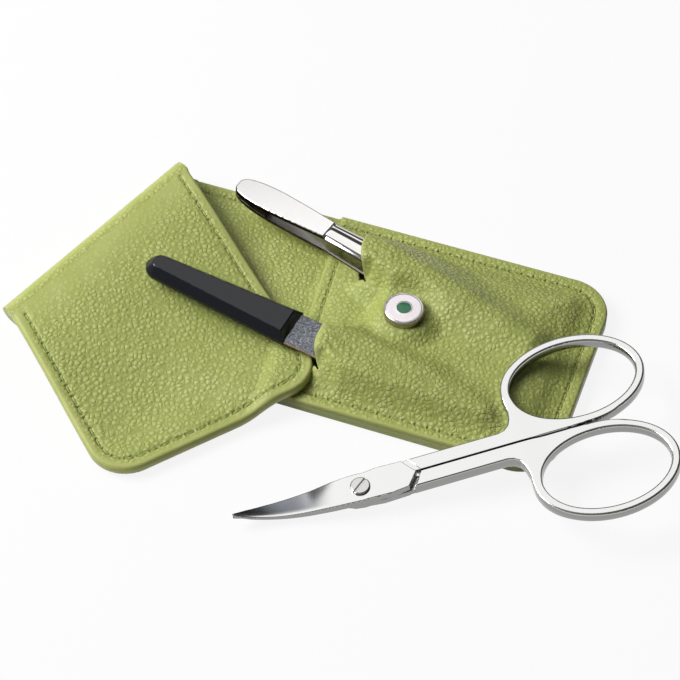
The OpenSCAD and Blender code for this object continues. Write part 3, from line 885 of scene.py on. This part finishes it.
plate_steel = Finish("sheet steel", Metallic=1.0)
plate_steel.set(Base_Color=plate_steel.mix(plate_steel.noise(1.5, 3), (0.42, 0.42, 0.43),
                                           (0.55, 0.55, 0.56)),
                Roughness=plate_steel.range(plate_steel.noise(0.6, 3), 0.2, 0.8, 0.3, 0.45))
dress(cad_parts["keeper_plate"], plate_steel.material)


# ---- The button
# A pressed and polished cap with an enamelled middle, riveted through the pocket panel. The
# magnet under it holds the steel plate that is glued inside the flap.

button_place = Matrix.Translation((*button_at, button_seat))
button_high = 1.9
enamel_wide = 3.0


def plate(name, low, high, cell, inside, top, bottom, place, degrees=32):
    """A solid filled between a top and a bottom height over an outline, in a tool's frame."""
    piece = hide(name, low, high, cell)
    refine(piece, lambda x, y: np.abs(inside(x, y)) < 0.5)
    cut(piece, inside, cell)
    flat = places_of(piece)
    count = len(flat)
    thicken(piece, 1.0)
    x, y = flat[:, 0], flat[:, 1]
    own = np.tile(flat, (2, 1))
    own[:count, 2], own[count:, 2] = top(x, y), bottom(x, y)
    turn = np.array(place.to_3x3())
    put_places(piece, own @ turn.T + np.array(place.translation))
    # The side walls are marked, for the painted shade that some metals put there.
    mark(piece, "edge", np.tile(inside(x, y) < 0.03, 2) * 1.0)
    soften(piece, degrees)
    return piece


def faces_of(side, outer, inner, middle=lambda x, y: 0):
    """The top and the bottom of one of two mirrored pieces, given by the heights of its faces
    from a middle one: on side -1 the outer face is the bottom."""
    faces = [lambda x, y, face=face: middle(x, y) + side * face(x, y) for face in (outer, inner)]
    return faces[::side]


def in_frame(piece, place):
    """The places of a piece's vertices in a tool's frame."""
    return (places_of(piece) - np.array(place.translation)) @ np.array(place.to_3x3())


def polished(name, colour, gloss, swirl=0.12, tone_shift=None):
    """Plated and buffed metal: fine buffing lines and a faint haze, with painted shade that
    darkens its side walls. It may take another colour where the vertices are marked as hollow."""
    metal = Finish(name, Metallic=1.0)
    edge = metal.marked("edge")
    haze = metal.noise(6, 3, 0.55)
    lines = metal.streaks(swirl, (0.25, 1.6), 2.0)
    face = metal.mix(haze, tuple(0.93 * v for v in colour), colour)
    if tone_shift:
        face = metal.mix(metal.marked("hollow"), face, tone_shift)
    # The side walls marked as edge get painted shade.
    metal.set(Base_Color=metal.mix(edge, face, tuple(0.5 * v for v in colour)),
              Roughness=metal.range(haze * 0.6 + lines * 0.4, 0.25, 0.75, gloss, gloss + 0.09),
              Normal=metal.bump(lines, 0.0012))
    return metal.material


bright_nickel = polished("bright nickel", (0.66, 0.65, 0.65), 0.10)


def cap_top(x, y):
    r = np.hypot(x, y)
    face = button_high - 0.05 - rounded_edge(button_wide / 2 - r, 0.4)
    groove = 0.05 * np.exp(-((r - 3.8) / 0.09) ** 2)
    ring = 0.04 * np.exp(-((r - enamel_wide / 2 - 0.12) / 0.1) ** 2)
    return np.where(r < enamel_wide / 2 - 0.02, button_high - 0.32, face - groove + ring)


def cap_bottom(x, y):
    return 0.98 * smooth((button_wide / 2 - 0.95 - np.hypot(x, y)) / 0.15)


def round_plate(radius):
    return lambda x, y: radius - np.hypot(x, y)


cap_low, cap_high = (-button_wide / 2 - 0.1,) * 2, (button_wide / 2 + 0.1,) * 2
cap = plate("button_cap_plated", cap_low, cap_high, 0.11, round_plate(button_wide / 2), cap_top,
            cap_bottom, button_place, 24)
dress(cap, polished("pearl nickel", (0.78, 0.72, 0.74), 0.22))
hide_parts("button_cap")
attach(cap, "case")

dot = plate("button_enamel_dot", (-1.6, -1.6), (1.6, 1.6), 0.1,
            round_plate(enamel_wide / 2 - 0.02),
            lambda x, y: button_high - 0.02 - 0.03 * (x ** 2 + y ** 2),
            lambda x, y: 0 * x + button_high - 0.3, button_place)
enamel = Finish("green enamel", Roughness=0.12, IOR=1.45)
enamel.set(Base_Color=enamel.mix(enamel.noise(0.8, 2), (0.012, 0.12, 0.05), (0.03, 0.2, 0.09)))
dress(dot, enamel.material)
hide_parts("button_enamel")
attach(dot, "case")

magnet_grey = Finish("sintered magnet", Metallic=0.8)
magnet_grey.set(Base_Color=magnet_grey.mix(magnet_grey.noise(0.3, 4), (0.16, 0.16, 0.17),
                                           (0.28, 0.28, 0.29)),
                Roughness=magnet_grey.range(magnet_grey.noise(0.5, 3), 0.2, 0.8, 0.35, 0.6))
dress(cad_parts["button_magnet"], magnet_grey.material)
for name in ("button_rivet", "button_washer"):
    dress(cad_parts[name], bright_nickel)


# ---- The nail file
# A spring-steel blade, coated with grit on both faces, is pressed into a black moulded handle
# with wide bevels all round. The blade lies in the pocket, and the handle stands over the flap.

handle_len, handle_half, handle_tip, handle_thick = 35.0, 4.65, 3.2, 4.4
handle_bevel, handle_waist = 1.5, 0.7
blade_thick, grit_thick = 0.6, 0.2


def tool_frame(place, yaw, slope):
    """The frame of a tool that lies on a sloping line, in millimetres."""
    return (Matrix.Translation(place) @ Matrix.Rotation(yaw, 4, "Z")
            @ Matrix.Rotation(slope, 4, "Y"))


def drawn_outline(corners):
    """Distance inside an outline, given by its corners in turn."""
    start = np.array(corners, float)
    run = np.roll(start, -1, axis=0) - start

    def gap(x, y):
        px, py = x[:, None] - start[:, 0], y[:, None] - start[:, 1]
        t = np.clip((px * run[:, 0] + py * run[:, 1]) / (run ** 2).sum(axis=1), 0, 1)
        far = np.hypot(px - t * run[:, 0], py - t * run[:, 1]).min(axis=1)
        rises = (py < 0) != (py - run[:, 1] < 0)
        crossed = rises & (px < run[:, 0] * py / np.where(run[:, 1] == 0, 1, run[:, 1]))
        return np.where(crossed.sum(axis=1) % 2 == 1, far, -far)
    return gap


def both_sides(stations):
    """An outline from its half widths along a tool."""
    return [(u, -h) for u, h in stations] + [(u, h) for u, h in reversed(stations)]


file_frame = tool_frame(file_tail, file_yaw, file_slope)
handle_gap = drawn_outline(
    [(handle_tip + handle_tip * math.cos(a), handle_tip * math.sin(a))
     for a in np.radians(np.arange(90, 271, 6))]
    + [(handle_len, -handle_half), (handle_len, handle_half)])


def handle_top(u, v):
    """The flat face, the wide bevel and the narrow waist, with softly moulded edges."""
    bevel = np.clip(handle_gap(u, v) / handle_bevel, 0, 3)
    low, high = handle_waist / 2, handle_thick / 2
    slope = low + (high - low) * bevel
    blend_at = 0.16
    mixed = np.clip(0.5 + 0.5 * (high - slope) / blend_at, 0, 1)
    return between(high, slope, mixed) - blend_at * mixed * (1 - mixed)


handle = plate("file_moulded_handle", (0, -handle_half), (handle_len, handle_half), 0.16,
               handle_gap, handle_top, lambda u, v: -handle_top(u, v), file_frame, 24)
black = Finish("black moulded nylon", IOR=1.5, Specular_IOR_Level=0.36)
moulded = black.noise(0.35, 3, 0.6)
scuffs = black.streaks(0.5, (0.2, 2.0), 3.0)
black.set(Base_Color=black.mix(moulded, (0.005, 0.006, 0.009), (0.010, 0.011, 0.016)),
          Roughness=black.range(moulded * 0.5 + scuffs * 0.5, 0.3, 0.7, 0.13, 0.24),
          Normal=black.bump(moulded, 0.004))
dress(handle, black.material)
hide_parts("file_handle")
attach(handle, "file")

steel_edge = Finish("spring steel", Metallic=0.9)
rust = steel_edge.noise(1.4, 3, 0.6)
steel_edge.set(Base_Color=steel_edge.mix(rust, (0.30, 0.22, 0.20), (0.42, 0.30, 0.25)),
               Roughness=steel_edge.range(rust, 0.3, 0.7, 0.3, 0.45))
grit_coat = Finish("blue grey grit", IOR=1.6)
speck = grit_coat.node("TexVoronoi", {"feature": "F1"}, "Color", Vector=grit_coat.place,
                       Scale=1 / (0.22 * MM))
speck = grit_coat.node("SeparateColor", Color=speck)
tooth = grit_coat.cells(0.22, "F1")
grit_coat.set(Base_Color=grit_coat.node("ValToRGB", {"stops": (
                  (0.0, (0.055, 0.06, 0.075)), (0.45, (0.17, 0.18, 0.21)),
                  (0.8, (0.30, 0.32, 0.36)), (1.0, (0.75, 0.77, 0.8)))}, Fac=speck),
              Metallic=grit_coat.range(speck, 0.6, 1.0, 0.2, 0.8),
              Roughness=grit_coat.range(speck, 0.0, 1.0, 0.6, 0.3),
              Normal=grit_coat.bump(tooth, 0.07))
blade_gap = drawn_outline(both_sides(blade_stations))
tang_at = 6.0
grit_in = 0.2


def grit_gap(u, v):
    return blade_gap(u, v) - grit_in


def grit_face(u, v):
    return blade_thick / 2 + grit_thick - rounded_edge(grit_gap(u, v), 0.18)


file_blade = plate("file_steel_blade", (tang_at, -4.2), (file_len, 4.2), 0.35, blade_gap,
                   lambda u, v: blade_thick / 2 - rounded_edge(blade_gap(u, v), 0.1),
                   lambda u, v: rounded_edge(blade_gap(u, v), 0.1) - blade_thick / 2, file_frame)
dress(file_blade, steel_edge.material)
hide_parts("file_blade")
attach(file_blade, "file")
for name, node, side in (("file_top_grit", "file_grit_top", 1),
                         ("file_under_grit", "file_grit_bottom", -1)):
    coat = plate(name, (handle_len - 0.05, -4.2), (file_len, 4.2), 0.3, grit_gap,
                 *faces_of(side, grit_face, lambda u, v: blade_thick / 2 + 0 * u), file_frame)
    dress(coat, grit_coat.material)
    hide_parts(node)
    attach(coat, "file")


# ---- The tweezers
# Two sprung steel arms are welded to a wedge at the tail. The tail is flat and brushed; past a
# fine step the arms are crowned across and polished. They stand tips down in the pocket.

tweezer_frame = tool_frame(tweezer_tail, tweezer_yaw, tweezer_slope)
arm_thick, arm_step = 1.0, 24.0
arm_gap = drawn_outline(both_sides(arm_stations))


def arm_outer(u, v):
    """The outer face of an arm: flat with a fine bevel, then stepped down and crowned."""
    half = np.maximum(half_wide(arm_stations, u), 0.3)
    flat_face = -rounded_edge(arm_gap(u, v), 0.28)
    share = np.clip(np.abs(v) / half, 0, 1)
    crown = -0.6 * share ** 2.2 + 0.06 * np.cos(3 * math.pi * share)
    step = 0.12 * np.exp(-((u - arm_step) / 0.16) ** 2)
    return arm_face(u) + between(flat_face, crown, smooth((u - arm_step + 0.1) / 0.5)) - step


def arm_inner(u, v):
    return arm_face(u) - arm_thick + 0 * v


arm_steel = Finish("brushed and polished steel", Metallic=1.0)
buffed, edge = arm_steel.marked("polish"), arm_steel.marked("edge")
brushing = arm_steel.streaks(0.16, (0.12, 1.3), 3.0, -tweezer_yaw)
film = arm_steel.noise(4, 3)
brushed = arm_steel.mix(brushing, (0.70, 0.69, 0.685), (0.78, 0.77, 0.765))
face = arm_steel.mix(buffed, brushed, (0.62, 0.61, 0.59))
# The side walls marked as edge are painted near black: painted shade.
arm_steel.set(Base_Color=arm_steel.mix(edge, face, (0.035, 0.022, 0.019)),
              Roughness=arm_steel.range(buffed + film * 0.12, 0.0, 1.1, 0.2, 0.07, "LINEAR"),
              Normal=arm_steel.bump(brushing * (1 - buffed), 0.004))
for name, node, side, body in (("tweezer_upper_plate", "tweezer_upper_arm", 1, "tweezers_top"),
                               ("tweezer_lower_plate", "tweezer_lower_arm", -1, "tweezers")):
    arm = plate(name, (0, -3.3), (tweezer_len, 3.3), 0.16, arm_gap,
                *faces_of(side, arm_outer, arm_inner), tweezer_frame, 24)
    mark(arm, "polish", smooth((in_frame(arm, tweezer_frame)[:, 0] - arm_step) / 0.6))
    dress(arm, arm_steel.material)
    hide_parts(node)
    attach(arm, body)
# The steel wedge between the arms is painted near black: painted shade in the narrow gap between
# them.
dress(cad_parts["tweezer_spacer"], polished("wedge in painted shade", (0.035, 0.026, 0.022), 0.3))


# ---- The nail scissors
# Two drop-forged halves, ground, plated and polished, turn on a slotted screw. Each has a blade
# curved upward, a flat joint plate, a shank and an oval finger ring.

scissor_frame = tool_frame((21.6, -42.1, 2.75), math.radians(34), math.radians(-7.6))
ride_gap, cut_len, curve_from, tip_rise = 0.03, 26.2, 9.7, 4.0
half_thick, edge_thick, shank_high = 1.6, 0.5, 1.45
ring_middle, ring_halves, band_half, band_high = (48.0, 11.3), (14.1, 10.05), 0.95, 2.6
pivot_wide, head_wide = 2.2, 4.1
blade_back_edge = [(-26.2, 0.25), (-25.9, -0.3), (-22.7, -1.05), (-16.1, -1.9), (-10.7, -2.5),
                   (-6, -3), (0, -3.4), (2, -3.2), (2, 3.1)]
blade_outlines = {
    1: drawn_outline(blade_back_edge + [(0, 3.3), (-5, 3.25), (-8, 3.1), (-12, 2.8), (-16, 2.3),
                                        (-20, 1.75), (-23.5, 1.1)]),
    -1: drawn_outline(blade_back_edge + [(0, 3.2), (-2, 2.9), (-5, 1.5), (-8, 1.1),
                                         (-16, 0.8)])}
plate_outline = drawn_outline([(-0.3, -3.3), (6, -3.5), (9.4, -3.1), (11.7, 0), (9.3, 3.3),
                               (4, 3.5), (-0.3, 3)])
shank_outline = drawn_outline([
    (12.7, 0.15), (44, 0.15), (47, 0.5), (46, 1.6), (43.1, 1.9), (40, 2.7), (37.6, 4),
    (36, 5.9), (34.9, 8), (34.5, 10.5), (33.4, 10.5), (33.1, 8), (32.7, 5.9), (32.1, 4.6),
    (31.1, 3.75), (29.8, 3.4), (10.4, 3.4)])


def screw_hole(x, y):
    return np.hypot(x, y) - pivot_wide / 2 - 0.03


def blade_and_plate(side):
    outline = blade_outlines[side]
    return lambda x, y: np.minimum(np.maximum(outline(x, y), plate_outline(x, y)),
                                   screw_hole(x, y))


def meeting_height(x, y):
    """Height of the face that the two blades share, which curves up towards the tips."""
    r = np.where(x < 2, np.hypot(x, y), 0)
    return tip_rise * (np.maximum(r - curve_from, 0) / (cut_len - curve_from)) ** 2


def blade_back(x, y, side):
    """Thickness of a blade: thin at the tip and at its cutting edge, with ground bevels."""
    r = np.where(x < 0, np.hypot(x, y), 0)
    thick = between(half_thick, edge_thick, smooth((r - 3) / (cut_len - 3)) * 0.9)
    gap = np.maximum(blade_outlines[side](x, y), plate_outline(x, y))
    back = np.interp(x, (-26.2, -22.7, -16.1, -10.7, -6, 0), (0.2, -1.05, -1.9, -2.5, -3, -3.4))
    width = np.interp(x, (-26.2, -22.7, -16, -8, -5), (0.6, 1.9, 3.5, 5.3, 5.9))
    depth = smooth((-x - 1.5) / 10.5) * between(0.5, 0.32, smooth((-x - 9) / 13))
    ground = depth * np.clip((y - back - 0.55) / width, 0, 1)
    return thick * (1 - ground) - np.minimum(rounded_edge(gap, 0.2), thick * 0.5)


def hollow(x, y):
    """1 over the ground hollow of a blade, which is coloured darker towards the tip."""
    return smooth((-x - 5.5) / 9) * smooth((y + 2.6 + 0.11 * (x + 6)) / 1.1)


def ring_gap(x, y):
    """Distance inside the ring's band, either side of its middle line."""
    u, v = (x - ring_middle[0]) / ring_halves[0], (y - ring_middle[1]) / ring_halves[1]
    size = np.maximum(np.hypot(u, v), 0.05)
    steep = np.hypot(u / ring_halves[0], v / ring_halves[1]) / size
    return band_half - np.abs(size - 1) / np.maximum(steep, 0.02)


def shank_and_ring(x, y):
    """The shank's outline flows into the ring's band through a web."""
    one, other, flow = shank_outline(x, y), ring_gap(x, y), 0.8
    near = np.clip(0.5 + 0.5 * (one - other) / flow, 0, 1)
    return between(other, one, near) + flow * near * (1 - near) * smooth((x - 30) / 3)


def shank_face(x, y):
    """Half the height of the shank and the ring: flat on top, with round ground edges."""
    high = between(shank_high, band_high / 2, smooth((x - 33) / 6))
    edge = between(0.1, 0.36, smooth((y - 0.9) / 1.2)) + 0.16 * smooth((x - 34) / 5)
    return high - rounded_edge(shank_and_ring(x, y), edge)


forged = polished("plated scissor steel", (0.60, 0.60, 0.59), 0.12, 0.09, (0.20, 0.21, 0.23))
neck_outline = drawn_outline([(7.7, 0.25), (14.7, 0.25), (14.7, 3.2), (7.7, 3.2)])
for side, word, body in ((1, "upper", "scissors"), (-1, "lower", "scissors_near")):
    half_frame = scissor_frame @ Matrix.Diagonal((1, side, 1, 1))
    blade = faces_of(side, lambda x, y: ride_gap / 2 + blade_back(x, y, side),
                     lambda x, y: ride_gap / 2 + 0.005, meeting_height)
    neck = faces_of(side, lambda x, y: shank_high - 0.08 + 0 * x, lambda x, y: 0.1 + 0 * x)
    parts = [
        plate("blade", (-26.3, -3.6), (11.8, 3.6), 0.15, blade_and_plate(side), *blade,
              half_frame, 24),
        plate("grip", (10, 0.1), (63.2, 22.5), 0.17, shank_and_ring, shank_face,
              lambda x, y: -shank_face(x, y), half_frame, 24),
        plate("neck", (7.7, 0.25), (14.7, 3.2), 0.4, neck_outline, *neck, half_frame)]
    mark(parts[0], "hollow", hollow(*in_frame(parts[0], half_frame)[:, :2].T))
    if side < 0:
        for part in parts:
            turn_over(part)
    only(parts[0])
    for part in parts:
        part.select_set(True)
    bpy.ops.object.join()
    half = bpy.context.object
    half.name = half.data.name = f"scissor_{word}_half_forged"
    dress(half, forged)
    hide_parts(f"scissor_{word}_half")
    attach(half, body)

screw_top = half_thick + ride_gap + 0.02
slot_turn = math.radians(40)


def screw_face(x, y):
    aside = np.abs(y * math.cos(slot_turn) - x * math.sin(slot_turn))
    gap = head_wide / 2 - np.hypot(x, y)
    head = screw_top + 0.5 - rounded_edge(gap, 0.3) + 0.03 * smooth(gap / 1.5)
    return head - 0.36 * (1 - smooth((aside - 0.24) / 0.08))


screw = plate("scissor_slotted_screw", (-2.2, -2.2), (2.2, 2.2), 0.07, round_plate(head_wide / 2),
              screw_face, lambda x, y: between(screw_top, -1.7, smooth(
                  (pivot_wide / 2 + 0.02 - np.hypot(x, y)) / 0.08)), scissor_frame, 24)
dress(screw, polished("screw steel", (0.50, 0.49, 0.48), 0.16, 0.07))
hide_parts("scissor_screw")
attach(screw, "scissors")


# ---- The table, the light and the camera
# The set lies on a white paper sweep. One bright lamp stands to the camera's left, a wide
# faint one hangs overhead, and the room is a little lighter on the camera's side.

floor_reach, floor_low = 3000, -0.02
floor_white = 0.88
floor = hide("floor", (-floor_reach,) * 2, (floor_reach,) * 2, floor_reach)
at = places_of(floor)
at[:, 2] = floor_low
put_places(floor, at)
paper = Finish("white sweep", Roughness=0.95, Base_Color=(0.86, 0.86, 0.86, 1))
seen, gloss, through = (paper.node("LightPath", out=f"Is {ray} Ray")
                        for ray in ("Camera", "Glossy", "Transmission"))
blend = paper.node("MixShader", Shader=Value(paper.shader.outputs[0]),
                   Fac=(seen + gloss + through).math("MINIMUM", 1.0) * floor_white,
                   Shader_001=paper.node("Emission", Color=(1, 1, 1, 1)))
plug(paper.nodes["Material Output"].inputs["Surface"], blend)
dress(floor, paper.material)

world = bpy.data.worlds.new("studio")
bpy.context.scene.world = world
air = Web(world)
view = air.node("TexCoord", out="Generated")


def towards(direction, low, high, dark, light):
    """How bright the room is, by how far a place in it lies towards a direction."""
    far = air.node("VectorMath", {"operation": "DOT_PRODUCT"}, "Value", Vector=view,
                   Vector_001=direction)
    return air.range(far, low, high, dark, light)


sides = towards((0, 0, 1), 0.05, 0.35, 1.0, 0.0)
room = towards((-0.8, -0.55, 0.25), -0.2, 0.95, 0.28, 0.85)
mirrored = air.node("LightPath", out="Is Glossy Ray")
plug(air.nodes["Background"].inputs["Strength"], (room + sides * 0.35) * (1 + mirrored * 5))


def softbox(name, place, target, size, radiance):
    """A lamp behind a cloth: its power follows from its size and how bright it looks."""
    bpy.ops.object.light_add(type="AREA", location=place)
    lamp = bpy.context.object
    lamp.name = name
    lamp.data.shape = "RECTANGLE"
    lamp.data.size, lamp.data.size_y = size
    lamp.data.energy = radiance * math.pi * size[0] * size[1]
    lamp.rotation_mode = "QUATERNION"
    lamp.rotation_quaternion = (Vector(target) - Vector(place)).to_track_quat("-Z", "Y")


softbox("key", (-0.5, -0.12, 0.5), (0, 0, 0), (0.42, 0.42), 11)
softbox("sky", (-0.235, 0.34, 0.615), (-0.235, 0.34, 0), (0.53, 0.48), 1.4)

azimuth, elevation, distance = math.radians(19.78), math.radians(51.5), 0.5
lens_pixels, photo_width, film_width = 2349.83, 680, 36
looked_at = Vector((3.73, -5.01, 0)) * MM
back = Vector((math.sin(azimuth) * math.cos(elevation),
               -math.cos(azimuth) * math.cos(elevation), math.sin(elevation)))
bpy.ops.object.camera_add(location=looked_at + back * distance)
camera = bpy.context.object
camera.rotation_mode = "QUATERNION"
camera.rotation_quaternion = (-back).to_track_quat("-Z", "Y")
camera.data.sensor_width = film_width
camera.data.lens = lens_pixels * film_width / photo_width
camera.data.clip_start = 0.01
bpy.context.scene.camera = camera
bpy.context.scene.view_settings.view_transform = "Standard"
